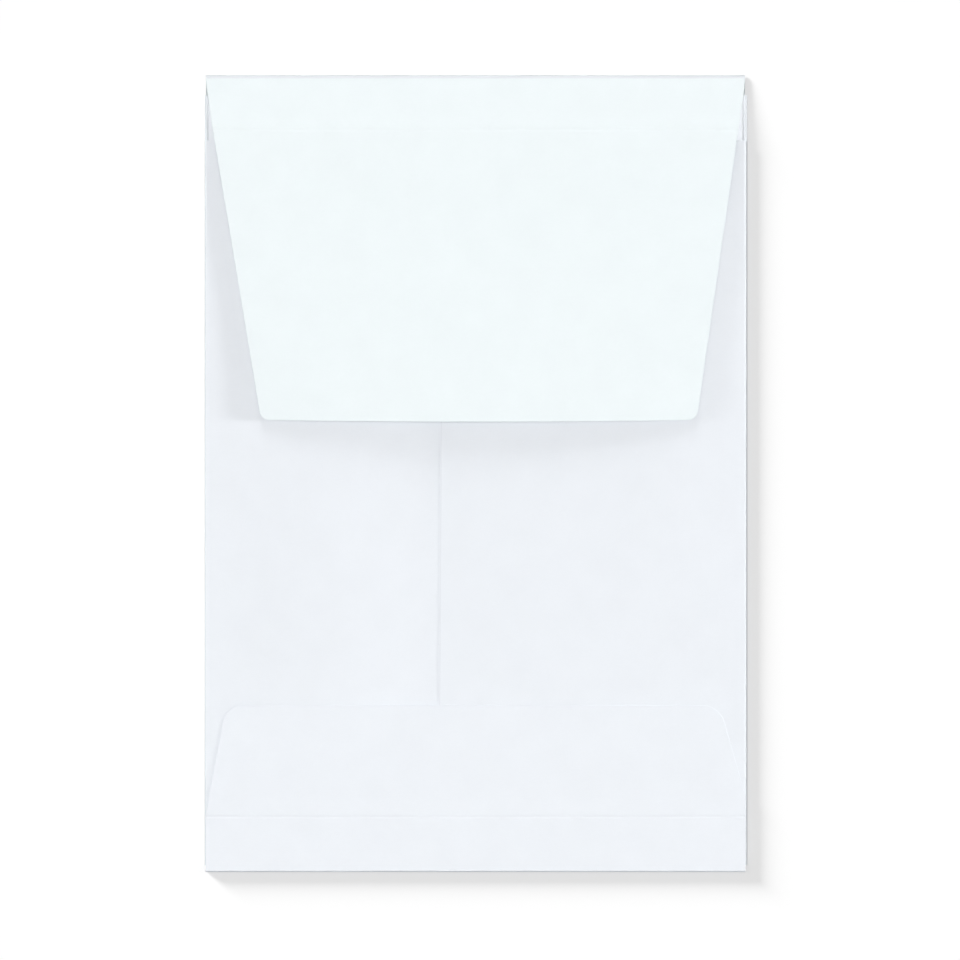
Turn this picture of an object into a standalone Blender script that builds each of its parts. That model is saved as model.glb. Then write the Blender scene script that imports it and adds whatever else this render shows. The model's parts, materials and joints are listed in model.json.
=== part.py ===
"""Gusset envelope: a white paper pocket envelope with side gussets, in metres, +Z up.

It lies on its front with the flap closed. X runs across it, +Y points to the top fold, and z = 0 is
the outer face of the front panel. Every panel between two creases is an object of its own, and hangs
on an empty that lies on the axis of the crease it turns about.
"""
import bmesh
import bpy
from math import atan2, cos, pi, sin, sqrt, tan
from mathutils import Vector

# Paper and the air between its folded layers
PAPER = 0.0002
LAYER_GAP = 0.0003
CREASE_SLIT = 0.0003
GLUE = 0.0001

# The closed envelope, over its folded edges
WIDTH = 0.1200
HEIGHT = 0.1763
GUSSET_WIDTH = 0.0120
THROAT_DEPTH = 0.0140

# The centre seam of the back, measured from the middle of the envelope
SEAM_X = -0.00766
SEAM_LEAN = 0.0064
SEAM_OVERLAP = 0.0100
SEAM_RAMP = 0.0007
SEAM_GLUE_MARGIN = 0.0010

# The bottom flap, measured from the bottom crease and from the side edges
BOTTOM_FLAP_REACH = 0.0247
BOTTOM_FLAP_LEFT_INSET = 0.0046
BOTTOM_FLAP_RIGHT_INSET = 0.0058
BOTTOM_FLAP_RIGHT_SHOULDER = 0.0044
BOTTOM_FLAP_CORNER_RADIUS = 0.0036
BOTTOM_GLUE_MARGIN = 0.0030
STRIP_GLUE_MARGIN = 0.0015

# The top flap, measured from the top fold
FLAP_LENGTH = 0.0763
FLAP_SCORE = 0.0115
FLAP_SHOULDER = 0.0028
FLAP_SHOULDER_INSET = 0.0003
FLAP_END_WIDTH = 0.0966
FLAP_CORNER_RADIUS = 0.0018
FLAP_END_BOW = 0.0004
FLAP_END_DRIFT = 0.0006
FLAP_END_LIFT = 0.0013
GUM_WIDTH = 0.0100
GUM_END_MARGIN = 0.0050
GUM_SIDE_MARGIN = 0.0080

# Room for the corner folds that pass each other as the envelope opens
GUSSET_FOOT_ROOM = 0.0018
INNER_TUCK_ROOM = 0.0012

# Steps in the curved parts
BEND_STEPS = 6
CORNER_STEPS = 6
FLAP_COLUMNS = 17
FLAP_ROWS = 11

# Colours as linear red, green and blue, and how matt each finish is
OUTER_PAPER = (0.89, 0.94, 0.97)
BACK_PAPER = (0.86, 0.90, 0.94)
INNER_PAPER = (0.84, 0.87, 0.91)
DRY_GLUE = (0.80, 0.80, 0.76)
FLAP_GUM = (0.82, 0.82, 0.74)
PAPER_ROUGHNESS = 0.75
GLUE_ROUGHNESS = 0.35

# Lines and levels that follow from the sizes. A folded edge bends round its axis, which lies inside it.
HALF_SLIT = CREASE_SLIT / 2
HALF_GAP = LAYER_GAP / 2
FOLD_BEND = PAPER + HALF_GAP
SIDE = WIDTH / 2 - FOLD_BEND
TOP_FOLD = (HEIGHT - FOLD_BEND) / 2
BOTTOM_EDGE = -TOP_FOLD
BOTTOM_CREASE = BOTTOM_EDGE + GUSSET_WIDTH
THROAT = TOP_FOLD - THROAT_DEPTH
SCORE_LINE = TOP_FOLD - FLAP_SCORE
LAYER_RISE = PAPER + LAYER_GAP
FRONT, GUSSET_FRONT, GUSSET_BACK, BACK, FLAP = (layer * LAYER_RISE for layer in range(5))
MIDDLE = GUSSET_BACK - HALF_GAP
FRONT_BEND_RADIUS = MIDDLE - HALF_GAP
BACK_BEND_RADIUS = FLAP + PAPER - MIDDLE - HALF_GAP
BEND_START = BOTTOM_EDGE + BACK_BEND_RADIUS
TONGUE = BACK - LAYER_RISE
TONGUE_ROOM = 2 * LAYER_RISE
GLUE_LIFT = (LAYER_GAP - GLUE) / 2
FLAP_RISE = atan2(FLAP - GUSSET_FRONT, FLAP_SCORE)


def clear_scene():
    """Start from an empty file."""
    for item in list(bpy.data.objects):
        bpy.data.objects.remove(item, do_unlink=True)


def finish(name, colour, roughness):
    """Make one Principled material."""
    material = bpy.data.materials.new(name)
    material.use_nodes = True
    shader = material.node_tree.nodes["Principled BSDF"]
    shader.inputs["Base Color"].default_value = (*colour, 1.0)
    shader.inputs["Roughness"].default_value = roughness
    shader.inputs["Metallic"].default_value = 0.0
    return material


def fold_axis(name, at, parent=None):
    """Put an empty on a crease. What turns about the crease is parented to it."""
    empty = bpy.data.objects.new(name, None)
    envelope.objects.link(empty)
    empty.empty_display_size = GUSSET_WIDTH / 2
    empty.parent = parent
    empty.location = Vector(at) - (home(parent) if parent else Vector())
    bpy.context.view_layer.update()
    return empty


def home(empty):
    """Give the place of an empty in the world."""
    return empty.matrix_world.translation.copy()


def add_part(name, data, axis, colour, roughness):
    """Link a part's data as an object that turns with its crease."""
    data.materials.append(finish(name, colour, roughness))
    part = bpy.data.objects.new(name, data)
    envelope.objects.link(part)
    part.parent = axis
    return part


def flat_panel(name, outline, underside, axis, colour, thickness=PAPER, roughness=PAPER_ROUGHNESS):
    """Cut a level panel from its outline, with its lower face at the given height."""
    base = home(axis)
    curve = bpy.data.curves.new(name, "CURVE")
    curve.dimensions = "2D"
    curve.fill_mode = "BOTH"
    curve.extrude = thickness / 2
    edge = curve.splines.new("POLY")
    edge.points.add(len(outline) - 1)
    edge.use_cyclic_u = True
    for point, (x, y) in zip(edge.points, outline):
        point.co = (x - base.x, y - base.y, 0, 1)
    panel = add_part(name, curve, axis, colour, roughness)
    panel.location.z = underside + thickness / 2 - base.z
    return panel


def bent_panel(name, place, columns, rows, axis, colour, thickness=PAPER, roughness=PAPER_ROUGHNESS):
    """Bend a grid into a sheet: place(column, row) is a point of the face its normals leave from."""
    base = home(axis)
    mesh = bpy.data.meshes.new(name)
    grid = bmesh.new()
    bmesh.ops.create_grid(grid, x_segments=columns - 1, y_segments=rows - 1, size=0.5)
    for vertex in grid.verts:
        column = round((vertex.co.x + 0.5) * (columns - 1))
        row = round((vertex.co.y + 0.5) * (rows - 1))
        vertex.co = Vector(place(column, row)) - base
    grid.to_mesh(mesh)
    grid.free()
    panel = add_part(name, mesh, axis, colour, roughness)
    solid = panel.modifiers.new("paper_thickness", "SOLIDIFY")
    solid.thickness = thickness
    solid.offset = -1.0
    solid.use_even_offset = True
    return panel


def rectangle(left, right, low, high):
    """Outline a rectangle, anticlockwise."""
    return [(left, low), (right, low), (right, high), (left, high)]


def rounded_corner(before, corner, after, radius):
    """Replace one corner of an outline by an arc of the given radius."""
    corner = Vector(corner)
    back = (Vector(before) - corner).normalized()
    ahead = (Vector(after) - corner).normalized()
    half_angle = back.angle(ahead) / 2
    middle = corner + (back + ahead).normalized() * radius / sin(half_angle)
    start = corner + back * radius / tan(half_angle) - middle
    end = corner + ahead * radius / tan(half_angle) - middle
    sweep = start.angle_signed(end)
    arc = []
    for step in range(CORNER_STEPS + 1):
        turn = -sweep * step / CORNER_STEPS
        arc.append((middle.x + start.x * cos(turn) - start.y * sin(turn),
                    middle.y + start.x * sin(turn) + start.y * cos(turn)))
    return arc


def seam_x(y):
    """Give the seam's place across the envelope at a height along it; it leans a little."""
    return SEAM_X + SEAM_LEAN * y


def build_front(root, front_crease):
    """The front panel, and its foot with the lower half of the bent bottom edge."""
    flat_panel("front_panel", rectangle(-SIDE, SIDE, BOTTOM_CREASE + HALF_SLIT, TOP_FOLD),
               FRONT, root, OUTER_PAPER)
    section = bend_section(FRONT_BEND_RADIUS)

    def place(column, row):
        y, rise = section[row]
        return ((-SIDE, SIDE)[column], y, FRONT + rise)

    bent_panel("front_foot", place, 2, len(section), front_crease, OUTER_PAPER)


def bend_section(radius):
    """Run from the bottom crease to the bottom edge, then a quarter turn towards the middle."""
    section = [(BOTTOM_CREASE - HALF_SLIT, 0.0)]
    for step in range(BEND_STEPS + 1):
        turn = pi / 2 * step / BEND_STEPS
        section.append((BOTTOM_EDGE + radius * (1 - sin(turn)), radius * (1 - cos(turn))))
    return section


def build_gusset(side, name, front_fold, valley):
    """The two halves of one side gusset, folded inwards between the front and the back."""
    outer = side * SIDE
    inner = side * (SIDE - GUSSET_WIDTH + HALF_SLIT)
    low = BOTTOM_CREASE + GUSSET_FOOT_ROOM
    outline = rectangle(min(outer, inner), max(outer, inner), low, THROAT)
    flat_panel(name + "_gusset_front", outline, GUSSET_FRONT, front_fold, INNER_PAPER)
    flat_panel(name + "_gusset_back", outline, GUSSET_BACK, valley, INNER_PAPER)


def corner_outline(side, points):
    """Turn distances in from the side edge and down from the bottom crease into an outline."""
    outline = [(side * (SIDE - across), BOTTOM_CREASE - down) for across, down in points]
    return outline if side > 0 else outline[::-1]


def build_tucks(side, name, layer, underside, crease, diagonal):
    """The gusset's corner below the crease: a triangle on the foot and one that folds over it."""
    depth = BOTTOM_CREASE - BEND_START
    shift = HALF_SLIT * sqrt(2)
    outer = [(0, shift), (0, depth), (depth - shift, depth)]
    flat_panel(f"{name}_outer_tuck_{layer}", corner_outline(side, outer), underside, crease, INNER_PAPER)

    def inner_limit(down):
        """Keep the swinging triangle on its own side of the envelope's middle."""
        return GUSSET_WIDTH / sqrt(2) + (1 - 1 / sqrt(2)) * down

    inner = [(INNER_TUCK_ROOM + shift, INNER_TUCK_ROOM),
             (inner_limit(INNER_TUCK_ROOM), INNER_TUCK_ROOM),
             (inner_limit(depth), depth),
             (depth + shift, depth)]
    flat_panel(f"{name}_inner_tuck_{layer}", corner_outline(side, inner), underside, diagonal, INNER_PAPER)


def build_back(back_fold, back_crease):
    """The two overlapping halves of the back, their feet, and the glue in the seam between them."""
    spans = {"panel": (BOTTOM_CREASE + HALF_SLIT, THROAT, back_fold, BOTTOM_CREASE + HALF_SLIT),
             "foot": (BEND_START, BOTTOM_CREASE - HALF_SLIT, back_crease, BOTTOM_CREASE - TONGUE_ROOM)}
    for part, (low, high, axis, tongue_line) in spans.items():
        right = [(seam_x(low), low), (SIDE, low), (SIDE, high), (seam_x(high), high)]
        flat_panel("back_right_" + part, right, BACK, axis, BACK_PAPER)
        left_high = high if part == "panel" else tongue_line
        build_left_back(part, low, left_high, axis)
        build_seam_glue(part, low, left_high, axis)


def build_left_back(part, low, high, axis):
    """The left half of the back: level, then down a short ramp to the tongue under the right half."""
    heights = (low, high)

    def place(column, row):
        y = heights[row]
        ramp_foot = seam_x(y) - LAYER_GAP
        across = (-SIDE, ramp_foot - SEAM_RAMP, ramp_foot, ramp_foot + SEAM_OVERLAP)[column]
        level = BACK if column < 2 else TONGUE
        return (across, y, level + PAPER)

    bent_panel("back_left_" + part, place, 4, 2, axis, BACK_PAPER)


def build_seam_glue(part, low, high, axis):
    """A thin strip of glue between the tongue and the right half of the back."""
    near = SEAM_GLUE_MARGIN
    far = SEAM_OVERLAP - LAYER_GAP - SEAM_GLUE_MARGIN
    outline = [(seam_x(low) + near, low), (seam_x(low) + far, low),
               (seam_x(high) + far, high), (seam_x(high) + near, high)]
    name = "seam_glue" if part == "panel" else "seam_glue_foot"
    flat_panel(name, outline, BACK - LAYER_GAP + GLUE_LIFT, axis, DRY_GLUE, GLUE, GLUE_ROUGHNESS)


def build_bottom_flap(back_fold, back_crease):
    """The bottom flap, folded up over the back, with the upper half of the bent bottom edge."""
    low = BOTTOM_CREASE + HALF_SLIT
    high = BOTTOM_CREASE + BOTTOM_FLAP_REACH
    shoulder = (SIDE, BOTTOM_CREASE + BOTTOM_FLAP_RIGHT_SHOULDER)
    top_right = (SIDE - BOTTOM_FLAP_RIGHT_INSET, high)
    top_left = (-SIDE + BOTTOM_FLAP_LEFT_INSET, high)
    outline = [(-SIDE, low), (SIDE, low), shoulder]
    outline += rounded_corner(shoulder, top_right, top_left, BOTTOM_FLAP_CORNER_RADIUS)
    outline += rounded_corner(top_right, top_left, (-SIDE, low), BOTTOM_FLAP_CORNER_RADIUS)
    flat_panel("bottom_flap", outline, FLAP, back_fold, BACK_PAPER)

    glue = rectangle(top_left[0] + BOTTOM_GLUE_MARGIN, top_right[0] - BOTTOM_GLUE_MARGIN,
                     low + BOTTOM_GLUE_MARGIN, high - BOTTOM_GLUE_MARGIN)
    flat_panel("bottom_flap_glue", glue, FLAP - LAYER_GAP + GLUE_LIFT, back_fold, DRY_GLUE,
               GLUE, GLUE_ROUGHNESS)

    section = bend_section(BACK_BEND_RADIUS)

    def place(column, row):
        y, drop = section[row]
        return ((SIDE, -SIDE)[column], y, FLAP + PAPER - drop)

    bent_panel("bottom_flap_strip", place, 2, len(section), back_crease, BACK_PAPER)
    strip_glue = rectangle(-SIDE + BOTTOM_GLUE_MARGIN, SIDE - BOTTOM_GLUE_MARGIN,
                           BEND_START + STRIP_GLUE_MARGIN, BOTTOM_CREASE - STRIP_GLUE_MARGIN)
    flat_panel("bottom_strip_glue", strip_glue, FLAP - LAYER_GAP + GLUE_LIFT, back_crease, DRY_GLUE,
               GLUE, GLUE_ROUGHNESS)


def flap_half_width(distance):
    """Give half the flap's width at a distance from the top fold."""
    if distance < FLAP_SHOULDER:
        return SIDE - FLAP_SHOULDER_INSET * distance / FLAP_SHOULDER
    start = SIDE - FLAP_SHOULDER_INSET
    share = (distance - FLAP_SHOULDER) / (FLAP_LENGTH - FLAP_SHOULDER)
    return start + (FLAP_END_WIDTH / 2 - start) * share


def flap_distances():
    """Space the flap's rows evenly, then closely round the free corners."""
    first = FLAP_SCORE + HALF_SLIT
    arc_start = FLAP_LENGTH - FLAP_END_BOW - FLAP_CORNER_RADIUS
    rows = [first + (arc_start - first) * row / FLAP_ROWS for row in range(FLAP_ROWS)]
    for step in range(CORNER_STEPS + 1):
        rows.append(arc_start + FLAP_CORNER_RADIUS * sin(pi / 2 * step / CORNER_STEPS))
    return rows


def flap_point(across, distance, half_width, level):
    """Map a place on the flap, -1 to 1 across, to the arched sheet in the world."""
    share = (distance - FLAP_SCORE) / (FLAP_LENGTH - FLAP_SCORE)
    crown = 1 - across * across
    x = half_width * across + FLAP_END_DRIFT * share
    y = TOP_FOLD - distance - FLAP_END_BOW * crown * share ** 3
    return (x, y, level + FLAP_END_LIFT * crown * share ** 2)


def build_flap(top_fold, score):
    """The top flap: a strip that climbs from the top fold, and the arched flap past its score."""
    axis = home(top_fold)
    start = tan(FLAP_RISE) * FOLD_BEND + CREASE_SLIT
    end = FLAP_SCORE / cos(FLAP_RISE) - HALF_SLIT
    sides = [start, FLAP_SHOULDER, end]
    right = [(flap_half_width(along), -along) for along in sides]
    left = [(-x, y) for x, y in reversed(right)]
    strip_outline = [(x, y + axis.y) for x, y in left + right]
    strip = flat_panel("flap_strip", strip_outline, 0.0, top_fold, OUTER_PAPER)
    lift = HALF_GAP + PAPER / 2
    strip.rotation_euler.x = -FLAP_RISE
    strip.location = (0, lift * sin(FLAP_RISE), lift * cos(FLAP_RISE))

    distances = flap_distances()
    arc_start = FLAP_LENGTH - FLAP_END_BOW - FLAP_CORNER_RADIUS

    def place(column, row):
        distance = distances[row]
        past = max(0.0, distance - arc_start)
        cut = FLAP_CORNER_RADIUS - sqrt(max(0.0, FLAP_CORNER_RADIUS ** 2 - past ** 2))
        across = 1 - 2 * column / (FLAP_COLUMNS - 1)
        return flap_point(across, distance, flap_half_width(distance) - cut, FLAP + PAPER)

    bent_panel("flap", place, FLAP_COLUMNS, len(distances), score, OUTER_PAPER)

    gum_rows = (FLAP_LENGTH - GUM_END_MARGIN - GUM_WIDTH, FLAP_LENGTH - GUM_END_MARGIN)

    def gum_place(column, row):
        distance = gum_rows[row]
        half = flap_half_width(distance)
        reach = 1 - GUM_SIDE_MARGIN / half
        across = reach * (1 - 2 * column / (FLAP_COLUMNS - 1))
        return flap_point(across, distance, half, FLAP - GLUE_LIFT)

    bent_panel("flap_gum", gum_place, FLAP_COLUMNS, 2, score, FLAP_GUM, GLUE, GLUE_ROUGHNESS)


def build_envelope():
    """Lay out the crease axes as they hang on each other, then build the panels on them."""
    front_fold_level = FRONT + FOLD_BEND
    back_fold_level = BACK - HALF_GAP
    root = fold_axis("front_face", (0, 0, 0))
    folds = {}
    for name, side in (("left", -1), ("right", 1)):
        front_fold = fold_axis(name + "_front_fold", (side * SIDE, 0, front_fold_level), root)
        valley = fold_axis(name + "_gusset_valley", (side * (SIDE - GUSSET_WIDTH), 0, MIDDLE), front_fold)
        build_gusset(side, name, front_fold, valley)
        folds[name] = valley
    back_fold = fold_axis("left_back_fold", (-SIDE, 0, back_fold_level), folds["left"])
    front_crease = fold_axis("bottom_front_crease", (0, BOTTOM_CREASE, FRONT + PAPER), root)
    back_crease = fold_axis("bottom_back_crease", (0, BOTTOM_CREASE, BACK), back_fold)
    build_front(root, front_crease)
    build_back(back_fold, back_crease)
    build_bottom_flap(back_fold, back_crease)
    for name, side in (("left", -1), ("right", 1)):
        corner = (side * SIDE, BOTTOM_CREASE, MIDDLE)
        for layer, underside, crease in (("front", GUSSET_FRONT, front_crease),
                                         ("back", GUSSET_BACK, back_crease)):
            diagonal = fold_axis(f"{name}_{layer}_diagonal", corner, crease)
            build_tucks(side, name, layer, underside, crease, diagonal)
    top_fold = fold_axis("top_fold", (0, TOP_FOLD, front_fold_level), root)
    score = fold_axis("flap_score", (0, SCORE_LINE, FLAP), top_fold)
    build_flap(top_fold, score)


clear_scene()
envelope = bpy.data.collections.new("gusset_envelope")
bpy.context.scene.collection.children.link(envelope)
build_envelope()
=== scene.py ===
# %% [markdown]
# # A gusset envelope in white wove paper
#
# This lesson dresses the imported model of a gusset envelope: a tall paper pocket whose sides are
# folded inwards like bellows, so that it can open into a shallow box. It lies on its front with the
# flap closed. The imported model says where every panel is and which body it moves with. We load it
# first, and build each paper sheet around it.

import json
from math import atan2, cos, pi, radians, sin, sqrt, tan

import bmesh
import bpy
import numpy as np
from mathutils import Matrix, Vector


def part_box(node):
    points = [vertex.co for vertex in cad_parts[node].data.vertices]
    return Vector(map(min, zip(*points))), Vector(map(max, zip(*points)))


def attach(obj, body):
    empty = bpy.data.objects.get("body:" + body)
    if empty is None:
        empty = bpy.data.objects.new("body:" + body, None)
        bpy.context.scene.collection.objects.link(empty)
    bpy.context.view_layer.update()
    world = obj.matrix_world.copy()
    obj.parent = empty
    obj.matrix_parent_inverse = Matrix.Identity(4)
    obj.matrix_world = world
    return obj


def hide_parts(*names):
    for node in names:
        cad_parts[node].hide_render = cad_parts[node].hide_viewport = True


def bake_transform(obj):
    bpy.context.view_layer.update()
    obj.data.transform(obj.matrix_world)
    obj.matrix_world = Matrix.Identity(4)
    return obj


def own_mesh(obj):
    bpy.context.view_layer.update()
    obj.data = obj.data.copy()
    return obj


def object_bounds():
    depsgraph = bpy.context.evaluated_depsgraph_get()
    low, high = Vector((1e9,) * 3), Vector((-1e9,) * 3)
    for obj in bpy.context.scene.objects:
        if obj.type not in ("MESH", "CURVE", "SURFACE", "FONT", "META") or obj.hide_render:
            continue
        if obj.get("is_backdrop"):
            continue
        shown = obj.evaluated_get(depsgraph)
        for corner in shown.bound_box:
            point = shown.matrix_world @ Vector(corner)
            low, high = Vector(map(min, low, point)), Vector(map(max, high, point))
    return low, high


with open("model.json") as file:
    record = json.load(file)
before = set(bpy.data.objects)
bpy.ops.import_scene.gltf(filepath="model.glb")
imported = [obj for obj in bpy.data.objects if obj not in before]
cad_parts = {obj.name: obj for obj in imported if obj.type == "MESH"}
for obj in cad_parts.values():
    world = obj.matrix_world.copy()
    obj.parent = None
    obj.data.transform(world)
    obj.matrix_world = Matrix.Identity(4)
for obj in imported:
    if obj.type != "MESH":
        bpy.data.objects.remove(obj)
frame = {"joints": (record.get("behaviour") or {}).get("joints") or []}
cad_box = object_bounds()

# %% [markdown]
# ## Sizes that the model carries
#
# Paper goods are made from a few lines: where it is cut, where it is folded, and how the layers
# stack. We read those lines from the model instead of typing them again, so that the sheets fall
# exactly on the panels that they stand for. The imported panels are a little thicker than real
# writing paper, so that they can slide on each other. The sheets here get the real thickness.

# %% Read the folding lines and the levels of the layers
AXES = {joint["name"]: Vector(joint["pos_m"]) for joint in frame["joints"]}
front_low, front_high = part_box("front_panel")
back_low, back_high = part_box("back_right_panel")
gusset_low, gusset_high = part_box("left_gusset_front")
pocket_flap_low, pocket_flap_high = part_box("bottom_flap")

PAPER = front_high.z - front_low.z
SHEET_SHARE = 0.7
SHEET = SHEET_SHARE * PAPER
SIDE = front_high.x
TOP_FOLD = AXES["flap_fold"].y
SCORE_LINE = AXES["flap_score"].y
BOTTOM_CREASE = AXES["bottom_back_crease"].y
BOTTOM_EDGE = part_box("front_foot")[0].y
BEND_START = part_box("back_right_foot")[0].y
THROAT = back_high.y
VALLEY = -AXES["left_gusset_valley"].x

# Heights of the middle of each layer, from the front up to the flap
FRONT_LEVEL = (front_low.z + front_high.z) / 2
GUSSET_FRONT_LEVEL = (gusset_low.z + gusset_high.z) / 2
GUSSET_BACK_LEVEL = sum(corner.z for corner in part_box("left_gusset_back")) / 2
BACK_LEVEL = (back_low.z + back_high.z) / 2
FLAP_LEVEL = (pocket_flap_low.z + pocket_flap_high.z) / 2
MIDDLE = AXES["left_gusset_valley"].z
BEND = AXES["flap_fold"].z - FRONT_LEVEL
SIDE_TRIM = 0.00005
OUTER_SIDE = SIDE + BEND + PAPER / 2 - SIDE_TRIM
print(f"Sheet {SHEET * 1000:.2f} mm, width {2 * OUTER_SIDE * 1000:.1f} mm,",
      f"bend radius {BEND * 1000:.2f} mm")

# %% [markdown]
# ## Sheets of paper
#
# Paper is a sheet with two faces and a cut rim. A plane would have no edge to catch the light, and
# a Solidify modifier can't follow the tight bends as evenly as we need. So each sheet starts as a
# grid of points in the middle of its thickness. The grid's own slopes give the normals, and both
# faces are pushed half a thickness away from the middle. The blade that cuts paper presses the
# upper face down a little, so a cut edge can be asked for that is soft on top. It catches the
# light as a fine line.

# %% Turn a grid of points into a closed sheet
def ring_of(rows, columns):
    """List the grid places round the rim of a sheet, once round."""
    down = [(row, columns - 1) for row in range(1, rows)]
    back = [(rows - 1, column) for column in range(columns - 2, -1, -1)]
    up = [(row, 0) for row in range(rows - 2, 0, -1)]
    return [(0, column) for column in range(columns)] + down + back + up


RIM = 0.00006
RIM_PRESS = 0.2
SHARP_ANGLE = radians(32)


def rim_share(middle, cut):
    """Give 0 on the named cut edges of a grid and 1 from the width of a rim inwards."""
    edges = {"left": middle[:, :1], "right": middle[:, -1:],
             "top": middle[:1], "bottom": middle[-1:]}
    share = np.ones(middle.shape[:2])
    for side in cut.split():
        share = np.minimum(share, np.linalg.norm(middle - edges[side], axis=2) / RIM)
    return share[..., None]


def paper_sheet(name, middle, thickness=SHEET, cut=""):
    """Make a closed sheet from a grid of middle points, shaped rows x columns x 3."""
    middle = np.asarray(middle, float)
    rows, columns = middle.shape[:2]
    across, along = np.gradient(middle, axis=1), np.gradient(middle, axis=0)
    normals = np.cross(across, along)
    normals /= np.linalg.norm(normals, axis=2, keepdims=True)
    upper = thickness / 2 * ((1 + RIM_PRESS) * rim_share(middle, cut) - RIM_PRESS)
    faces_of = np.stack([middle + normals * thickness / 2, middle - normals * upper])

    def at(face, row, column):
        return (face * rows + row) * columns + column

    quads = []
    for row in range(rows - 1):
        for column in range(columns - 1):
            corners = [(row, column), (row, column + 1), (row + 1, column + 1), (row + 1, column)]
            quads.append([at(0, *corner) for corner in corners])
            quads.append([at(1, *corner) for corner in reversed(corners)])
    ring = ring_of(rows, columns)
    for here, there in zip(ring, ring[1:] + ring[:1]):
        quads.append([at(0, *there), at(0, *here), at(1, *here), at(1, *there)])

    mesh = bpy.data.meshes.new(name)
    mesh.from_pydata(faces_of.reshape(-1, 3).tolist(), [], quads)
    shell = bmesh.new()
    shell.from_mesh(mesh)
    bmesh.ops.recalc_face_normals(shell, faces=shell.faces)
    shell.to_mesh(mesh)
    shell.free()
    mesh.polygons.foreach_set("use_smooth", [True] * len(mesh.polygons))
    mesh.set_sharp_from_angle(angle=SHARP_ANGLE)
    sheet = bpy.data.objects.new(name, mesh)
    bpy.context.scene.collection.objects.link(sheet)
    return sheet


# %% [markdown]
# ## The lie of the paper
#
# No sheet that has been folded and glued lies quite flat. It cockles by less than a tenth of a
# millimetre, and the layers and the air inside lift the middle a little. All the sheets on one
# side of the pocket share one surface, so that they never cut through each other.

# %% Describe how far the paper lifts
COCKLE = 0.00002
CROWN = 0.00008
FADE = 0.018
GROOVE = 0.00013
GROOVE_WIDTH = 0.00025
WAVES = [(0.047, 0.3, 1.1), (0.031, 2.0, 4.0), (0.071, 1.2, 2.3), (0.023, 2.7, 0.6),
         (0.058, 0.9, 5.2)]


def smooth(value):
    """Ease from 0 to 1, flat at both ends."""
    value = np.clip(value, 0, 1)
    return value * value * (3 - 2 * value)


def fade_in(x, y):
    """Hold the paper down at the side folds, the bottom crease and the flap's score."""
    sides = smooth((SIDE - np.abs(x)) / FADE)
    return sides * smooth((y - BOTTOM_CREASE) / FADE) * smooth((SCORE_LINE - y) / FADE)


def cockle(x, y):
    """Add a few long waves that run in different directions."""
    total = sum(np.sin((x * cos(turn) + y * sin(turn)) * 2 * pi / length + start)
                for length, turn, start in WAVES)
    return COCKLE * (total / len(WAVES) * 2 + 1)


def groove(distance):
    """Give the depth of a pressed folding line, at a distance from its middle."""
    return GROOVE * np.exp(-(distance / GROOVE_WIDTH) ** 2)


def lift(x, y):
    """Give the rise of the back of the pocket, and of what lies on it."""
    crown = CROWN * (1 - (x / SIDE) ** 2)
    return fade_in(x, y) * (cockle(x, y) + crown) - groove(y - BOTTOM_CREASE)


print("Most lift:", round(float(lift(np.linspace(-SIDE, SIDE, 99)[:, None],
                                     np.linspace(BOTTOM_CREASE, SCORE_LINE, 99))
                                .max()) * 1000, 3), "mm")

# %% [markdown]
# ## From outline to grid
#
# Most sheets are level and are cut to an outline whose left and right edges are functions of the
# distance along the envelope. One helper spreads a grid between the two edges. A list of row
# positions is denser where the paper bends, so that a fold has points to bend at.

# %% Spread grids between two edges
STEP = 0.0025
CREASE_STEP = 0.0002
CREASE_ROWS = 0.0016
CORNER_STEPS = 12


def spread(start, end, step=STEP):
    """Space positions evenly from start to end."""
    count = max(2, round(abs(end - start) / step) + 1)
    return list(np.linspace(start, end, count))


def around(line, reach=CREASE_ROWS):
    """Space positions closely from one side of a folding line to the other."""
    return spread(line + reach, line - reach, CREASE_STEP)


def joined(*runs):
    """Join runs of positions that go the same way, without repeats."""
    positions = []
    for run in runs:
        positions += [value for value in run if not positions or abs(value - positions[-1]) > 1e-7]
    return positions


def rows_down(top):
    """Place rows from a height down to the bottom bend, close together at the bottom crease."""
    return joined(spread(top, BOTTOM_CREASE + CREASE_ROWS), around(BOTTOM_CREASE),
                  spread(BOTTOM_CREASE - CREASE_ROWS, BEND_START))


def level_grid(rows, left, right, height, columns=48, lifted=True):
    """Fill the space between two edges. left, right and height may be functions of y."""
    grid = np.zeros((len(rows), columns + 1, 3))
    for row, y in enumerate(rows):
        low = left(y) if callable(left) else left
        high = right(y) if callable(right) else right
        x = np.concatenate([[low], np.linspace(low + RIM, high - RIM, columns - 1), [high]])
        rise = lift(x, y) if lifted else 0.0
        grid[row] = np.stack([x, np.full_like(x, y), height + rise + 0 * x], axis=1)
    return grid


# %% [markdown]
# ## The bent bottom edge
#
# At the bottom the front sheet turns up and over, and comes back as the bottom flap. The packed
# model splits that bend between the front foot and the strip of the bottom flap, because the two
# swing on different creases when the pocket opens. So the bend is two curls, one on each foot.
# Each is a quarter of a flat oval, because a pressed fold is much sharper than a circle. Each curl
# rides on its foot.

# %% Work out the section of the bent bottom edge
BEND_ROWS = 14
SPLIT_GAP = 0.00002
OVAL_OUT = 0.8
OVAL_HIGH = 0.6
BULGE = 0.00026
BOTTOM_REACH = {1: BOTTOM_EDGE - 0.00034, -1: BOTTOM_EDGE - 0.00016}


def oval(turn):
    """Give how far out and how high a pressed fold is, from (0, -1) round to (0, 1)."""
    out = max(sin(turn), 0.0) ** OVAL_OUT
    return out, -abs(cos(turn)) ** OVAL_HIGH * (1 if cos(turn) > 0 else -1)


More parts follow.
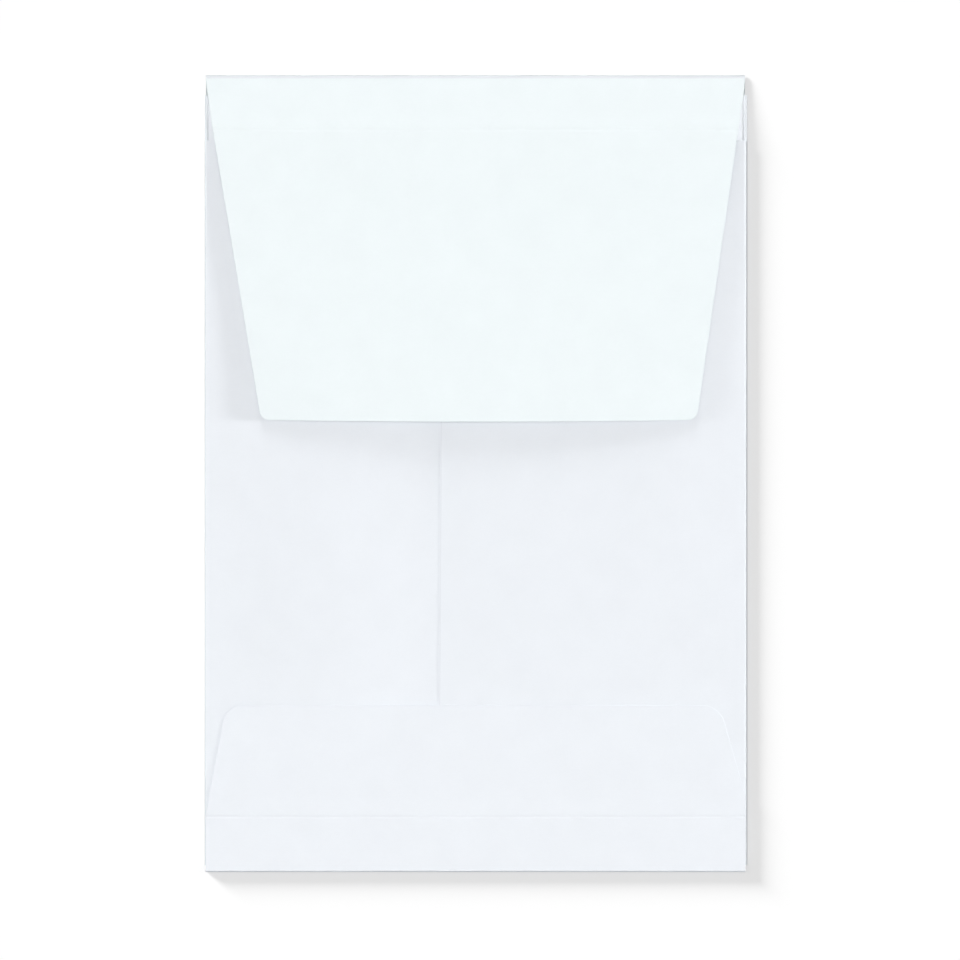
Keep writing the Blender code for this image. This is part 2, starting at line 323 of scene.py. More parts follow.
def curl(level, towards):
    """Run from the start of the bend round to the split; towards is 1 upwards, -1 downwards."""
    height = abs(MIDDLE - level) - SPLIT_GAP
    section = [(BEND_START, level)]
    for step in range(BEND_ROWS + 1):
        out, low = oval(pi / 2 * step / BEND_ROWS)
        section.append((BOTTOM_REACH[towards] + BULGE * (1 - out),
                        level + towards * height * (1 + low)))
    return section


def add_curl(name, level, towards, foot):
    """Make one curl of the bent bottom edge. It rides on a foot."""
    x = np.linspace(-OUTER_SIDE, OUTER_SIDE, 49)
    rows = [np.stack([x, np.full_like(x, y), np.full_like(x, z)], axis=1)
            for y, z in curl(level, towards)]
    piece = paper_sheet(name, rows)
    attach(piece, foot)
    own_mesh(piece)
    return piece


print("Bottom bend from y", round(BEND_START * 1000, 2), "to",
      round(BOTTOM_REACH[1] * 1000, 2), "mm")

# %% [markdown]
# ## Front sheet
#
# The front is one plain sheet from the top fold down to the bottom edge. It is creased across near
# the bottom, where the foot swings up when the pocket opens. One mesh with close rows at the crease
# is truer than two panels with a slit between them.

# %% Build the front sheet
CUT_EDGE = OUTER_SIDE
SHOULDER_TOP = TOP_FOLD - 0.0037
NOTCH = 0.00005
pieces = {}


def front_half_width(y):
    """The sheet is cut flush near the top fold, and ends in the side folds below that."""
    return CUT_EDGE if y > SHOULDER_TOP else SIDE


front_rows = joined(spread(TOP_FOLD, SHOULDER_TOP + NOTCH), rows_down(SHOULDER_TOP - NOTCH))
front_grid = level_grid(front_rows, lambda y: -front_half_width(y), front_half_width, FRONT_LEVEL,
                        lifted=False)
front_sheet = paper_sheet("front_sheet", front_grid)
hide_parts("front_panel", "front_foot")
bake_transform(front_sheet)
front_curl = add_curl("front_bottom_curl", FRONT_LEVEL, 1, "front_foot")
for piece in (front_sheet, front_curl):
    pieces[piece.name] = piece
    print(piece.name + ":", len(piece.data.polygons), "faces")

# %% [markdown]
# ## The two halves of the back
#
# The back is made of two halves that meet at a long seam left of the middle. The left half sinks
# by the thickness of the sheet and the glue as it comes to the seam, and runs on under the right
# half as a tongue. So only one cut edge shows, one sheet high. It is a narrow strip of its own,
# painted a little darker as the shadow that the step of the cut edge casts. The seam leans a
# little, so its place is a function of the height.

# %% Build the back sheets
SEAM_X = -0.00778
SEAM_LEAN = 0.0064
SEAM_OVERLAP = 0.0100
SEAM_APPROACH = 0.0260
CONTACT = 0.00001
GLUE = 0.00003
EDGE_STRIP = 0.00030


def seam_x(y):
    """Give the place of the seam across the envelope."""
    return SEAM_X + SEAM_LEAN * y


def bend_with_back(piece):
    """Bake a piece of the back into place where it lies."""
    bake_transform(piece)


back_rows = rows_down(THROAT)
right_grid = level_grid(back_rows, lambda y: seam_x(y) + EDGE_STRIP, SIDE, BACK_LEVEL, columns=30)
edge_grid = level_grid(back_rows, seam_x, lambda y: seam_x(y) + EDGE_STRIP, BACK_LEVEL, columns=4)

flat = np.linspace(0, 1, 31)[:-1]
tongue = np.linspace(0, SEAM_OVERLAP, 7)


def left_half_height(x, y):
    """Give the height of the left half, which sinks before the seam."""
    sunk = (SHEET + GLUE + 2 * CONTACT) * smooth((x - seam_x(y)) / SEAM_APPROACH + 1)
    return BACK_LEVEL - sunk + lift(x, y)


left_grid = []
for y in back_rows:
    x = np.concatenate([-SIDE + (seam_x(y) + SIDE) * flat, seam_x(y) + tongue])
    left_grid.append(np.stack([x, np.full_like(x, y), left_half_height(x, y)], axis=1))

for name, grid, half in (("back_right_sheet", right_grid, "back_right"),
                         ("seam_edge_sheet", edge_grid, "back_right"),
                         ("back_left_sheet", left_grid, "back_left")):
    sheet = paper_sheet(name, grid)
    if name != "seam_edge_sheet":
        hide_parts(half + "_panel", half + "_foot")
    bend_with_back(sheet)
    pieces[name] = sheet
    print(name + ":", len(sheet.data.polygons), "faces")

# %% [markdown]
# ## The bottom flap
#
# The bottom flap folds up over both halves of the back and is glued down. Its top corners are
# rounded, and its sides run out to the full width. On the right they meet the side a little
# higher up than on the left. It lies close on the back, so it lifts with it. The glue stops short
# of its left edge, which stands off by less than a tenth of a millimetre and shows as a fine line.

# %% Build the bottom flap
FLAP_TOP = pocket_flap_high.y
BOTTOM_FLAP_LEVEL = BACK_LEVEL + SHEET + GLUE + CONTACT
LEFT_INSET = 0.0046
RIGHT_INSET = 0.0058
RIGHT_SHOULDER = BOTTOM_CREASE + 0.0044
CORNER = 0.0036
EDGE_RISE = 0.00009
EDGE_RISE_WIDTH = 0.0050


def rounding(distance, radius):
    """Give how far a rounded corner cuts in, at a distance from the edge it ends at."""
    inside = np.clip(radius - distance, 0, radius)
    return radius - sqrt(max(radius ** 2 - float(inside) ** 2, 0.0))


def bottom_flap_left(y):
    share = min(max((y - BOTTOM_CREASE) / (FLAP_TOP - BOTTOM_CREASE), 0), 1)
    return -CUT_EDGE + LEFT_INSET * share + rounding(FLAP_TOP - y, CORNER)


def bottom_flap_right(y):
    share = min(max((y - RIGHT_SHOULDER) / (FLAP_TOP - RIGHT_SHOULDER), 0), 1)
    return CUT_EDGE - RIGHT_INSET * share - rounding(FLAP_TOP - y, CORNER)


corner_rows = [FLAP_TOP - CORNER * (1 - cos(pi / 2 * step / CORNER_STEPS))
               for step in range(CORNER_STEPS + 1)]
flap_rows = joined(corner_rows, spread(FLAP_TOP - CORNER, RIGHT_SHOULDER), rows_down(RIGHT_SHOULDER))
bottom_grid = level_grid(flap_rows, bottom_flap_left, bottom_flap_right, BOTTOM_FLAP_LEVEL)
inwards = bottom_grid[..., 0] - bottom_grid[:, :1, 0]
bottom_grid[..., 2] += EDGE_RISE * smooth(1 - inwards / EDGE_RISE_WIDTH) * smooth(
    (bottom_grid[..., 1] - BOTTOM_CREASE) / CORNER)
bottom_flap = paper_sheet("bottom_flap_sheet", bottom_grid, cut="left right top")
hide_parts("bottom_flap", "bottom_flap_strip")
bend_with_back(bottom_flap)
back_curl = add_curl("back_bottom_curl", BOTTOM_FLAP_LEVEL, -1, "back_foot")
for piece in (bottom_flap, back_curl):
    pieces[piece.name] = piece
    print(piece.name + ":", len(piece.data.polygons), "faces")

# %% [markdown]
# ## Glue
#
# Two films of adhesive hold the pocket together: a line in the seam, and a broad patch under the
# bottom flap. Nothing of them shows on a well made envelope, but they are there, between the
# layers.

# %% Build the glue films
SEAM_MARGIN = 0.0010
PATCH_MARGIN = 0.0030
patch_rows = [y for y in back_rows if y < FLAP_TOP - PATCH_MARGIN]
seam_level = BACK_LEVEL - (SHEET + GLUE + CONTACT) / 2
patch_level = BACK_LEVEL + (SHEET + GLUE + CONTACT) / 2
seam_film = level_grid(back_rows, lambda y: seam_x(y) + SEAM_MARGIN,
                       lambda y: seam_x(y) + SEAM_OVERLAP - SEAM_MARGIN, seam_level, columns=4)
patch_film = level_grid(patch_rows, -SIDE + LEFT_INSET + PATCH_MARGIN,
                        SIDE - RIGHT_INSET - PATCH_MARGIN, patch_level, columns=24)
for name, grid, *nodes in (
        ("seam_glue_film", seam_film, "seam_glue", "seam_glue_foot"),
        ("bottom_flap_glue_film", patch_film, "bottom_flap_glue", "bottom_strip_glue")):
    film = paper_sheet(name, grid, GLUE)
    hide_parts(*nodes)
    bend_with_back(film)
    pieces[name] = film
    print(name + ":", len(film.data.polygons), "faces")

# %% [markdown]
# ## Gussets
#
# Each gusset is one strip that folds inwards on a valley crease, halfway between the front and the
# back. Its section is a narrow hairpin: out along the front half, round the valley, and back. The
# valley is the only place where it bends.

# %% Build the gussets
HALF_TURN_STEPS = 16
GUSSET_ROOM = 0.0006
gusset_rows = spread(THROAT, BOTTOM_CREASE + GUSSET_ROOM)
turns = np.linspace(0, pi, HALF_TURN_STEPS + 1)
for side, label in ((-1, "left"), (1, "right")):
    run = np.linspace(SIDE, VALLEY, 9)[:-1]
    x = np.concatenate([run, VALLEY - BEND * np.sin(turns), run[::-1]])
    z = np.concatenate([np.full(8, GUSSET_FRONT_LEVEL), MIDDLE - BEND * np.cos(turns),
                        np.full(8, GUSSET_BACK_LEVEL)])
    grid = [np.stack([side * x, np.full_like(x, y), z], axis=1) for y in gusset_rows]
    gusset = paper_sheet(label + "_gusset_sheet", grid)
    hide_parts(label + "_gusset_front", label + "_gusset_back")
    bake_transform(gusset)
    pieces[gusset.name] = gusset
    print(gusset.name + ":", len(gusset.data.polygons), "faces")

# %% [markdown]
# ## Corner tucks
#
# Below the crease each gusset is folded flat into the bottom, as two triangles that share a
# diagonal crease. The outer one is stuck to the foot. The inner one swings over it when the pocket
# opens. They hide inside, and show in the corners of the open box.

# %% Build the corner tucks
TUCK_STEP = 0.00036
TUCK_ROOM = 0.0012
TUCK_REACH = 0.00042
tuck_depth = BOTTOM_CREASE - BEND_START
gusset_width = SIDE - VALLEY


def tuck_reach(down):
    """Give how far in from the side the paper of the corner reaches, at a depth below the crease."""
    if down < TUCK_ROOM:
        return down
    return gusset_width / sqrt(2) + (1 - 1 / sqrt(2)) * down


tuck_rows = joined([0.0003, 0.0006, 0.0009, TUCK_ROOM - 0.00001],
                   spread(TUCK_ROOM, tuck_depth, TUCK_STEP))
for side, label in ((-1, "left"), (1, "right")):
    for layer, level in (("front", GUSSET_FRONT_LEVEL), ("back", GUSSET_BACK_LEVEL)):
        grid = []
        for down in tuck_rows:
            across = np.linspace(0, tuck_reach(down), 33)
            grid.append(np.stack([side * (SIDE - across), np.full_like(across, BOTTOM_CREASE - down),
                                  np.full_like(across, level)], axis=1))
        tuck = paper_sheet(f"{label}_tuck_sheet_{layer}", grid)
        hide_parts(f"{label}_outer_tuck_{layer}", f"{label}_inner_tuck_{layer}")
        middle = Vector((side * (SIDE - tuck_depth / 2), BOTTOM_CREASE - tuck_depth / 2, level))
        inwards = Vector((-side, 1, 0)).normalized() * TUCK_REACH
        middle - inwards
        middle + inwards
        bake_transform(tuck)
        pieces[tuck.name] = tuck
        print(tuck.name + ":", len(tuck.data.polygons), "faces")

# %% [markdown]
# ## Folded side edges
#
# Where two panels meet at a side, the paper turns back on itself in a tight oval bend. These bends
# make the soft edge of the closed envelope. Each is a narrow strip round the fold's axis. The bends
# of the front stand out a little more than those of the back, because the front lies under their
# pressure.

# %% Build the folded side edges
front_fold_z = AXES["left_front_fold"].z
back_fold_z = AXES["left_back_fold"].z
FRONT_BULGE = {-1: 0.00045, 1: 0.00073}
BACK_BULGE = {-1: 0.00043, 1: 0.00041}


def fold_strip(name, side, axis_z, rows, first=0.0, last=pi):
    """Bend a strip round a side fold. It starts at the lower panel and ends at the upper one."""
    steps = np.linspace(first, last, round((last - first) / pi * HALF_TURN_STEPS) + 1)
    bulge = (FRONT_BULGE if axis_z == front_fold_z else BACK_BULGE)[side]
    out, high = np.array([oval(turn) for turn in steps]).T
    x = side * (SIDE + bulge * out)
    z = axis_z + BEND * high
    grid = [np.stack([x, np.full_like(x, y), z], axis=1) for y in rows]
    strip = paper_sheet(name, grid)
    pieces[name] = strip
    return strip


FOLD_SPREAD = 0.0001
ROOT_ROOM = 0.0008
fold_rows = spread(THROAT, BOTTOM_CREASE)
tip_rows = spread(SHOULDER_TOP, THROAT)
for name, side, axis_z, rows, bodies in (
        ("left_front_fold_edge", -1, front_fold_z, fold_rows, ("front", "left_gusset_front")),
        ("right_front_fold_edge", 1, front_fold_z, fold_rows, ("front", "right_gusset_front")),
        ("left_front_edge_tip", -1, front_fold_z, tip_rows, ("front", "left_gusset_front")),
        ("right_front_edge_tip", 1, front_fold_z, tip_rows, ("front", "right_gusset_front")),
        ("left_back_fold_edge", -1, back_fold_z, fold_rows, ("left_gusset_back", "back"))):
    strip = fold_strip(name, side, axis_z, rows)
    axis_z - BEND - PAPER / 2 - FOLD_SPREAD
    axis_z + BEND + PAPER / 2 + FOLD_SPREAD
    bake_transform(strip)

# The right back fold closes the loop of panels, so no joint is on it: its upper quarter rides on the
# back, and its lower quarter rides on the gusset.
upper = fold_strip("right_back_fold_edge", 1, back_fold_z, fold_rows, pi / 2, pi)
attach(upper, "back")
lower = fold_strip("right_back_fold_root", 1, back_fold_z,
                   spread(THROAT, BOTTOM_CREASE + ROOT_ROOM), 0.0, pi / 2)
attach(lower, "right_gusset_back")
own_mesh(lower)

# Beside the feet the same edges bend between a foot and its outer tuck, which move as one.
foot_rows = spread(BOTTOM_CREASE, BEND_START)
for side, label in ((-1, "left"), (1, "right")):
    for layer, axis_z in (("front", front_fold_z), ("back", back_fold_z)):
        strip = fold_strip(f"{label}_{layer}_foot_edge", side, axis_z, foot_rows)
        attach(strip, layer + "_foot")
        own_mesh(strip)
print("Fold strips:", sum("edge" in name or "root" in name for name in pieces))

# %% [markdown]
# ## Shoulders beside the throat
#
# The mouth of the pocket is cut lower than the top fold. At both sides a narrow shoulder of the
# gusset runs on beside it, almost up to the fold, and shows beside the closed flap. It sits as
# high as the climbing flap leaves room for, and rides on the gusset.

# %% Build the shoulders
SHOULDER_FOOT_WIDTH = 0.0050
SHOULDER_TOP_WIDTH = 0.0032
SHOULDER_RISE = 0.0005
SHOULDER_ROOM = 0.00012
rise_angle = atan2(FLAP_LEVEL - BEND - AXES["flap_fold"].z, TOP_FOLD - SCORE_LINE)


def strip_height(down):
    """Give the middle of the climbing strip at a distance below the top fold."""
    return AXES["flap_fold"].z + BEND / cos(rise_angle) + tan(rise_angle) * down


for side, label in ((-1, "left"), (1, "right")):
    grid = []
    for y in spread(SHOULDER_TOP, THROAT + 0.00003, 0.0005):
        share = (SHOULDER_TOP - y) / (SHOULDER_TOP - THROAT)
        width = SHOULDER_TOP_WIDTH + (SHOULDER_FOOT_WIDTH - SHOULDER_TOP_WIDTH) * share
        inwards = width * np.concatenate([np.linspace(0, 0.2, 9)[:-1], np.linspace(0.2, 1, 9)])
        top = min(BACK_LEVEL, strip_height(TOP_FOLD - y) - SHEET - SHOULDER_ROOM)
        z = GUSSET_FRONT_LEVEL + (top - GUSSET_FRONT_LEVEL) * smooth(inwards / SHOULDER_RISE)
        grid.append(np.stack([side * (SIDE - inwards), np.full_like(inwards, y), z], axis=1))
    shoulder = paper_sheet(label + "_throat_shoulder", grid)
    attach(shoulder, label + "_gusset_front")
    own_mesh(shoulder)
    pieces[shoulder.name] = shoulder
    print(shoulder.name + ":", len(shoulder.data.polygons), "faces")

# %% [markdown]
# ## The top flap
#
# The flap leaves the top fold as a narrow strip that climbs over the layers to a scored line, and
# from there it lies over the back. Its sides draw in towards the free end, whose corners are
# rounded. The corners settle on the paper below. Between them the free end bows slightly and
# stands off it, which gives the soft shadow along its edge.

# %% Build the flap
LENGTH = 0.07595
SHOULDER = 0.0028
SHOULDER_INSET = 0.0003
END_HALF_WIDTH = 0.04833
END_CORNER = 0.0018
END_BOW = 0.0004
END_DRIFT = 0.00072
END_LIFT = 0.00060
SIDE_LIFT = 0.00010
SETTLE = 0.00026
score_distance = TOP_FOLD - SCORE_LINE


def flap_half_width(distance):
    """Give half the flap's width at a distance from the top fold."""
    start = CUT_EDGE - SHOULDER_INSET
    if distance < SHOULDER:
        return CUT_EDGE - SHOULDER_INSET * distance / SHOULDER
    share = (distance - SHOULDER) / (LENGTH - SHOULDER)
    return start + (END_HALF_WIDTH - start) * share


def flap_point(across, distance, half_width):
    """Place a point of the flap, with across from -1 to 1."""
    share = max(0.0, (distance - score_distance) / (LENGTH - score_distance))
    crown = 1 - across ** 2
    x = half_width * across + END_DRIFT * share
    y = TOP_FOLD - distance - END_BOW * crown * share ** 3
    rest = FLAP_LEVEL - SETTLE * smooth(share * 3) + (END_LIFT * crown + SIDE_LIFT) * share ** 2
    z = np.where(distance < score_distance, strip_height(TOP_FOLD - y), rest)
    return np.stack([x, y + 0 * x, z + lift(x, y) - groove(distance - score_distance)], axis=1)


flap_distances = joined(spread(-BEND * sin(rise_angle), score_distance - CREASE_ROWS),
                        around(score_distance, -CREASE_ROWS),
                        spread(score_distance + CREASE_ROWS, LENGTH - END_CORNER),
                        [LENGTH - END_CORNER * (1 - sin(pi / 2 * step / CORNER_STEPS))
                         for step in range(CORNER_STEPS + 1)])
flap_grid = []
for distance in flap_distances:
    half_width = flap_half_width(distance) - rounding(LENGTH - distance, END_CORNER)
    inner = 1 - RIM / half_width
    across = np.concatenate([[-1], np.linspace(-inner, inner, 59), [1]])
    flap_grid.append(flap_point(across, distance, half_width))
flap = paper_sheet("flap_sheet", flap_grid, cut="left right bottom")
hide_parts("flap_strip", "flap")
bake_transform(flap)
pieces["flap_sheet"] = flap
print("flap_sheet:", len(flap.data.polygons), "faces")

# %% [markdown]
# ## The top fold
#
# The top fold is the bend that the hand opens most. It turns a little less than half a circle,
# from the front sheet up to the start of the climbing strip.

# %% Build the top fold
top_axis = AXES["flap_fold"]
TOP_BULGE = 0.0007
top_section = []
for turn in np.linspace(0, pi - rise_angle, HALF_TURN_STEPS + 1):
    out, high = oval(turn)
    top_section.append((top_axis.y + TOP_BULGE * out, top_axis.z + BEND * high))
top_section.append((top_axis.y + BEND * sin(rise_angle), strip_height(-BEND * sin(rise_angle))))
across = np.linspace(-CUT_EDGE, CUT_EDGE, 49)
top_grid = [np.stack([across, np.full(49, y), np.full(49, z)], axis=1) for y, z in top_section]
top_fold = paper_sheet("top_fold_edge", top_grid)
FRONT_LEVEL - PAPER / 2
top_axis.z + BEND + PAPER / 2
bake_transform(top_fold)
pieces["top_fold_edge"] = top_fold
print("Climb of the strip:", round(rise_angle * 180 / pi, 2), "degrees")

# %% [markdown]
# ## Gum on the flap
#
# A band of dry gum runs along the inside of the flap's free end. It is a film a few hundredths of
# a millimetre thick, laid on the flap's own surface, and it stops short of the edges.

# %% Build the gum band
GUM_FILM = 0.00004
GUM_WIDTH = 0.0100
GUM_END_MARGIN = 0.0050
GUM_SIDE_MARGIN = 0.0080
gum_grid = []
for distance in spread(LENGTH - GUM_END_MARGIN - GUM_WIDTH, LENGTH - GUM_END_MARGIN, 0.001):
    half = flap_half_width(distance)
    across = np.linspace(-1, 1, 61) * (1 - GUM_SIDE_MARGIN / half)
    gum_grid.append(flap_point(across, distance, half) - [0, 0, SHEET / 2 + GUM_FILM / 2])
gum = paper_sheet("flap_gum_band", gum_grid, GUM_FILM)
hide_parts("flap_gum")
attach(gum, "flap")
pieces["flap_gum_band"] = gum
print("Pieces so far:", len(pieces))

# %% [markdown]
# ## A small class for shader maths
#
# A material is a net of nodes, and a long formula is hard to read as a list of links. This class
# wraps an output socket so that Python's own signs add the Math nodes. Every other kind of node
# comes from its one method, which takes the type, the settings and the sockets.

# %% Wrap sockets
class Wire:
    """An output of a material's nodes. Sums written with it add Math nodes to the material."""

    def __init__(self, tree, socket=None):
        self.tree = tree
        self.socket = socket

    def node(self, kind, settings, sockets, output=0):
        """Add a node, apply its settings, then fill its sockets with values or wires."""
        made = self.tree.nodes.new(kind)
        for name, value in settings.items():
            setattr(made, name, value)
        for name, value in sockets.items():
            if isinstance(value, Wire):
                self.tree.links.new(value.socket, made.inputs[name])
            else:
                made.inputs[name].default_value = value
        return Wire(self.tree, made.outputs[output])

    def math(self, operation, first, second):
        return self.node("ShaderNodeMath", {"operation": operation}, {0: first, 1: second})

    def __add__(self, other):
        return self.math("ADD", self, other)

    def __sub__(self, other):
        return self.math("SUBTRACT", self, other)

    def __rsub__(self, other):
        return self.math("SUBTRACT", other, self)

    def __mul__(self, other):
        return self.math("MULTIPLY", self, other)

    __radd__ = __add__
    __rmul__ = __mul__


def mix(share, first, second):
    """Mix two colours by a wire."""
    return share.node("ShaderNodeMix", {"data_type": "RGBA"}, {0: share, 6: first, 7: second}, 2)


# %% [markdown]
# ## Wove paper
#
# Wove paper has no weave and no lines. Seen close, it is a felt of short fibres. Seen against the
# light it is faintly cloudy, because the pulp is never quite even. So the material has three
# layers of noise: clouds of some millimetres, fibres of about a millimetre drawn out in two
# directions, and a fine tooth. They move the colour by about one part in a hundred, and the tooth
# and the fibres raise the surface by some thousandths of a millimetre.

# %% Write the paper material
CLOUD = 0.007
FIBRE = 0.0011
TOOTH = 0.00035
BUMP = 0.00002


def tint(colour, factor):
    """Scale a colour, kept below white."""
    return (*(min(channel * factor, 0.99) for channel in colour), 1.0)


def fibres(place, turn, size):
    """Draw noise out along one direction."""
    turned = place.node("ShaderNodeMapping", {}, {"Vector": place, "Rotation": (0, 0, turn),
                                                  "Scale": (1 / size, 5 / size, 5 / size)})
    return place.node("ShaderNodeTexNoise", {}, {"Vector": turned, "Scale": 1.0, "Detail": 2.0,
                                                 "Distortion": 0.6})


def principled(name):
    """Start a material and give its shader and a first wire: the place on the object."""
    material = bpy.data.materials.new(name)
    material.use_nodes = True
    tree = material.node_tree
    place = Wire(tree).node("ShaderNodeTexCoord", {}, {}, 3)
    return material, tree.nodes["Principled BSDF"], place


def connect(wire, socket):
    wire.tree.links.new(wire.socket, socket)


def noise(place, size, detail=3.0):
    return place.node("ShaderNodeTexNoise", {},
                      {"Vector": place, "Scale": 1 / size, "Detail": detail})


def wove_paper(name, colour, roughness, relief):
    """Make white wove paper of one colour, roughness and depth of tooth."""
    material, shader, place = principled(name)
    clouds = noise(place, CLOUD)
    felt = (fibres(place, 0.4, FIBRE) + fibres(place, 1.9, FIBRE * 0.8)) * 0.5
    tooth = noise(place, TOOTH, 2.0)
    shade = clouds * 0.45 + felt * 0.35 + tooth * 0.2
    contrast = shade.node("ShaderNodeMapRange", {},
                          {"Value": shade, "From Min": 0.35, "From Max": 0.65})
    connect(mix(contrast, tint(colour, 0.985), tint(colour, 1.012)), shader.inputs["Base Color"])
    connect(roughness - 0.12 * (felt - 0.5), shader.inputs["Roughness"])
    height = felt * 0.6 + tooth * 0.4
    bump = height.node("ShaderNodeBump", {},
                       {"Strength": relief, "Distance": BUMP, "Height": height})
    connect(bump, shader.inputs["Normal"])
    shader.inputs["Specular IOR Level"].default_value = 0.35
    return material


# One paper in two copies: the outer copy is painted lighter, as painted light on the raised flap,
# and the back copy is painted darker, as painted shade on the body under it.
LIT_OUTER_PAPER = wove_paper("outer_wove_paper_painted_lit", (0.882, 0.945, 0.96), 0.72, 0.35)
SHADED_BACK_PAPER = wove_paper("back_wove_paper_painted_shade", (0.867, 0.899, 0.942), 0.74, 0.35)
INNER_PAPER = wove_paper("inner_wove_paper", (0.84, 0.87, 0.91), 0.80, 0.5)
# The seam's strip is painted with a darker copy of the back paper: a painted shadow of the step at
# the cut edge.
SEAM_SHADOW_PAPER = wove_paper("cut_edge_paper", (0.828, 0.858, 0.900), 0.76, 0.35)
FOLDED_PAPER = wove_paper("burnished_fold", (0.88, 0.92, 0.955), 0.6, 0.2)
print("Paper nodes:", len(LIT_OUTER_PAPER.node_tree.nodes))

# %% [markdown]
# ## Glue and gum
#
# Dried paper glue is a dull, slightly grey film with a stippled surface. Gum is applied by a
# roller that leaves faint streaks along the band. It dries to a satin gloss and is a touch yellow.

# %% Write the glue and the gum
def dried_film(name, light, dark, roughness, stretch):
    """Make a dried film, streaked along x where stretch is above 1."""
    material, shader, place = principled(name)
    drawn = place.node("ShaderNodeMapping", {}, {"Vector": place, "Scale": (1 / stretch, 1.0, 1.0)})
    streaks = noise(drawn, 0.0012)
    pools = noise(place, 0.005)
    amount = streaks * 0.6 + pools * 0.4
    connect(mix(amount, tint(light, 1.0), tint(dark, 1.0)), shader.inputs["Base Color"])
    connect(roughness + 0.3 * (amount - 0.5), shader.inputs["Roughness"])
    bump = amount.node("ShaderNodeBump", {},
                       {"Strength": 0.3, "Distance": BUMP, "Height": streaks})
    connect(bump, shader.inputs["Normal"])
    return material


GLUE_FILM = dried_film("dried_paper_glue", (0.82, 0.82, 0.78), (0.76, 0.76, 0.71), 0.45, 1.0)
GUM = dried_film("dry_flap_gum", (0.86, 0.87, 0.80), (0.80, 0.80, 0.71), 0.34, 6.0)

# %% Give every piece its material
# The first word that is found in a piece's name decides, and the empty word is in every name.
RULES = [("film", GLUE_FILM), ("gum", GUM), ("seam_edge", SEAM_SHADOW_PAPER), ("edge", FOLDED_PAPER),
         ("root", FOLDED_PAPER), ("gusset", INNER_PAPER), ("tuck", INNER_PAPER),
         ("back", SHADED_BACK_PAPER), ("bottom", SHADED_BACK_PAPER), ("shoulder", SHADED_BACK_PAPER), ("", LIT_OUTER_PAPER)]
for name, piece in pieces.items():
    piece.data.materials.append(next(material for word, material in RULES if word in name))
print("Materials in use:", sorted({piece.data.materials[0].name for piece in pieces.values()}))

# %% [markdown]
# ## Floor and backdrop
#
# The envelope lies on a plain white surface. The floor is a real diffuse surface, so it takes the
# shadow. What the camera sees of it also gets a little light of its own, which brings the open
# floor to full white without more light on the paper.

# %% Lay the floor
FLOOR_SIZE = 6.0
FLOOR_GLOW = 0.42
FLOOR_GAP = 0.00002
floor_mesh = bpy.data.meshes.new("floor")
half = FLOOR_SIZE / 2
floor_mesh.from_pydata([(-half, -half, 0), (half, -half, 0), (half, half, 0), (-half, half, 0)], [],
                       [(0, 1, 2, 3)])
floor = bpy.data.objects.new("floor", floor_mesh)
floor.location.z = -FLOOR_GAP
bpy.context.scene.collection.objects.link(floor)
floor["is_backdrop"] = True


def seen_directly(wire):
    """Give 1 for rays from the camera, and for what gloss and clear things show."""
    rays = [wire.node("ShaderNodeLightPath", {}, {}, output) for output in (0, 3, 6)]
    total = rays[0] + rays[1] + rays[2]
    return total.math("MINIMUM", total, 1.0)


floor_material = bpy.data.materials.new("plain_floor")
floor_material.use_nodes = True
tree = floor_material.node_tree
tree.nodes.clear()
start = Wire(tree)
matt = start.node("ShaderNodeBsdfDiffuse", {}, {"Color": (0.92, 0.92, 0.92, 1.0)})
glow = start.node("ShaderNodeEmission", {},
                  {"Color": (1, 1, 1, 1), "Strength": seen_directly(start) * FLOOR_GLOW})
both = start.node("ShaderNodeAddShader", {}, {0: matt, 1: glow})
output = tree.nodes.new("ShaderNodeOutputMaterial")
connect(both, output.inputs["Surface"])
floor_mesh.materials.append(floor_material)

# %% [markdown]
# ## Light
#
# Soft light from all round and one broad lamp high on the upper left do most of the work. A weaker
# lamp from the right draws the cut edges as fine lines. Three low lamps skim over the back of the
# pocket from the sides and the top. Only the flap blocks them, so they draw its soft shadow and
# don't turn every thin step of paper into a dark line. All that they don't reach has a lamp above
# it instead, and so has the corner beside the flap that is open to the right. The floor has its
# own low lamp for the drop shadow. Lamps like the sun light every part of the envelope evenly.

# %% Set the world and the lamps
world = bpy.data.worlds.new("studio")
bpy.context.scene.world = world
world.use_nodes = True
background = world.node_tree.nodes["Background"]
background.inputs["Color"].default_value = (1, 1, 1, 1)
WORLD_LEVEL = 0.36
ambient = Wire(world.node_tree)
connect(WORLD_LEVEL + seen_directly(ambient) * (1 - WORLD_LEVEL), background.inputs["Strength"])


def group(name, members):
    """Collect the objects that a lamp lights, or that block it."""
    collection = bpy.data.collections.new(name)
    for member in members:
        collection.objects.link(member)
    return collection


LOW_LAMP = 30
skimmed = ["back_left_sheet", "back_right_sheet"]
low = skimmed + ["bottom_flap_sheet", "back_bottom_curl", "seam_edge_sheet"]
cut = low + ["flap_sheet"]
cut += [name for name in pieces if "_back_f" in name and "edge" in name]
shaded = skimmed + ["front_sheet", "front_bottom_curl", "right_front_fold_edge",
                    "right_front_foot_edge"]
all_paper = group("all_paper", pieces.values())
skimmed_paper = group("skimmed_paper", [pieces[name] for name in skimmed])
low_paper = group("low_paper", [pieces[name] for name in low])
cut_paper = group("cut_paper", [pieces[name] for name in cut])
other_paper = group("other_paper", [piece for name, piece in pieces.items() if name not in shaded])
flap_paper = group("flap_paper", [pieces[name] for name in ("flap_sheet", "top_fold_edge")])
open_corner = group("open_corner", [pieces["right_throat_shoulder"]])
open_floor = group("open_floor", [floor])


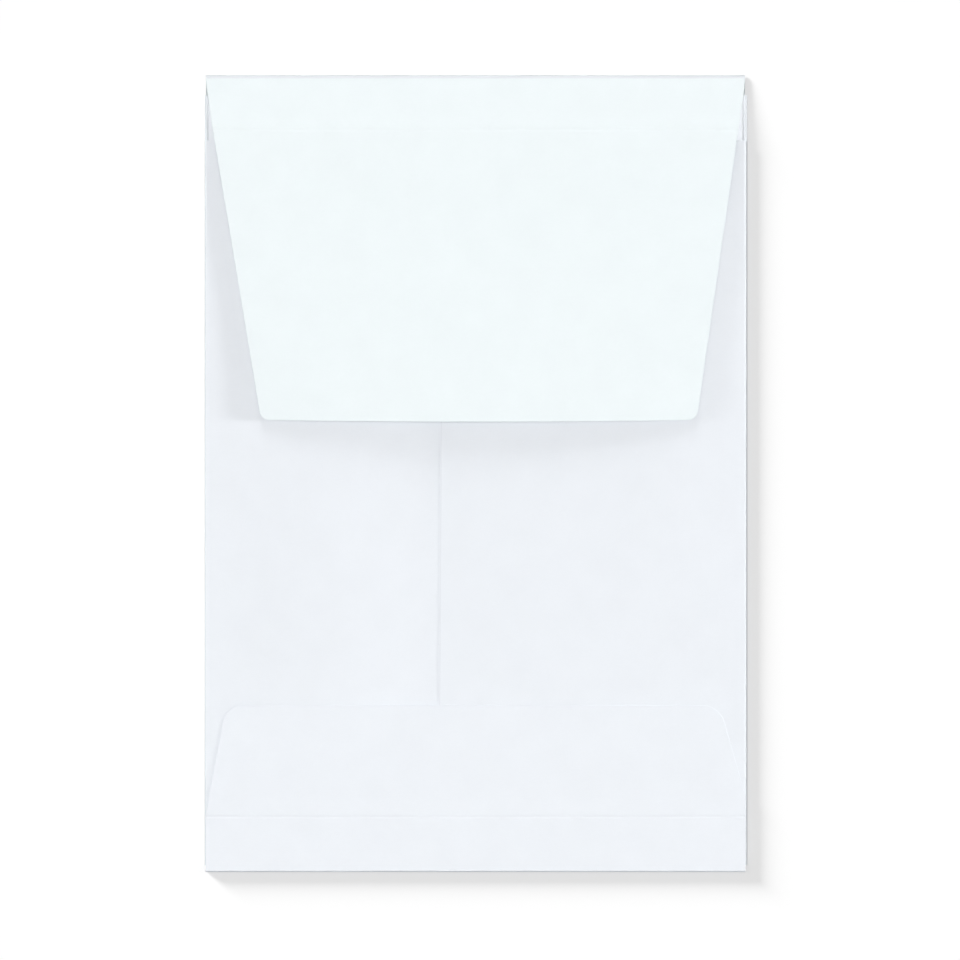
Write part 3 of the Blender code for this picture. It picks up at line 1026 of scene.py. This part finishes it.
def lamp(name, azimuth, elevation, spread_degrees, level, receivers, blockers=None):
    """Aim a lamp at the envelope. level is how bright a white level sheet looks in it alone."""
    data = bpy.data.lights.new(name, "SUN")
    data.angle = radians(spread_degrees)
    around_z, up = radians(azimuth), radians(elevation)
    data.energy = level * pi / sin(up)
    made = bpy.data.objects.new(name, data)
    bpy.context.scene.collection.objects.link(made)
    place = Vector((cos(around_z) * cos(up), sin(around_z) * cos(up), sin(up)))
    made.location = place
    made.rotation_mode = "QUATERNION"
    made.rotation_quaternion = place.to_track_quat("Z", "Y")
    # A low lamp would glare off the paper in a view from the other side, so it adds no gloss.
    made.visible_glossy = elevation > LOW_LAMP
    made.light_linking.receiver_collection = receivers
    if blockers:
        made.light_linking.blocker_collection = blockers
    return made


lamp("key_lamp", 128, 78, 22, 0.21, all_paper)
lamp("edge_lamp", 355, 24, 8, 0.12, cut_paper, low_paper)
lamp("skimming_lamp_right", 0, 2.6, 2.2, 0.13, skimmed_paper, flap_paper)
lamp("skimming_lamp_left", 180, 3.0, 2.6, 0.07, skimmed_paper, flap_paper)
lamp("skimming_lamp_top", 94, 5.0, 8.5, 0.105, skimmed_paper, flap_paper)
lamp("fill_lamp", 90, 78, 22, 0.308, other_paper)
lamp("corner_lamp", 0, 78, 22, 0.13, open_corner)
lamp("floor_lamp", 140, 15, 18, 0.28, open_floor)

# %% [markdown]
# ## Camera
#
# The envelope is seen straight from above through a long lens, so its outline is free of
# perspective. The distance follows from the width that the picture spans.

# %% Place the camera
PICTURE_WIDTH = 0.2129
LENS = 120.0
SENSOR = 36.0
camera_data = bpy.data.cameras.new("camera")
camera_data.lens = LENS
camera_data.sensor_width = SENSOR
camera = bpy.data.objects.new("camera", camera_data)
camera.location = (0.0010, -0.00127, FLAP_LEVEL + PICTURE_WIDTH * LENS / SENSOR)
bpy.context.scene.collection.objects.link(camera)
bpy.context.scene.camera = camera
bpy.context.scene.view_settings.view_transform = "Standard"
print("Camera height:", round(camera.location.z, 4), "m")

# %% [markdown]
# ## Measure and finish
#
# The script prints the size of the visual model beside that of the imported one. The
# visual model has to stay within the size of the imported one.

# %% Write the sizes and finish
visual_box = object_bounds()
for label, box in (("CAD box", cad_box), ("Visual box", visual_box)):
    print(label, "mm:", [round((high - low) * 1000, 2) for low, high in zip(*box)])
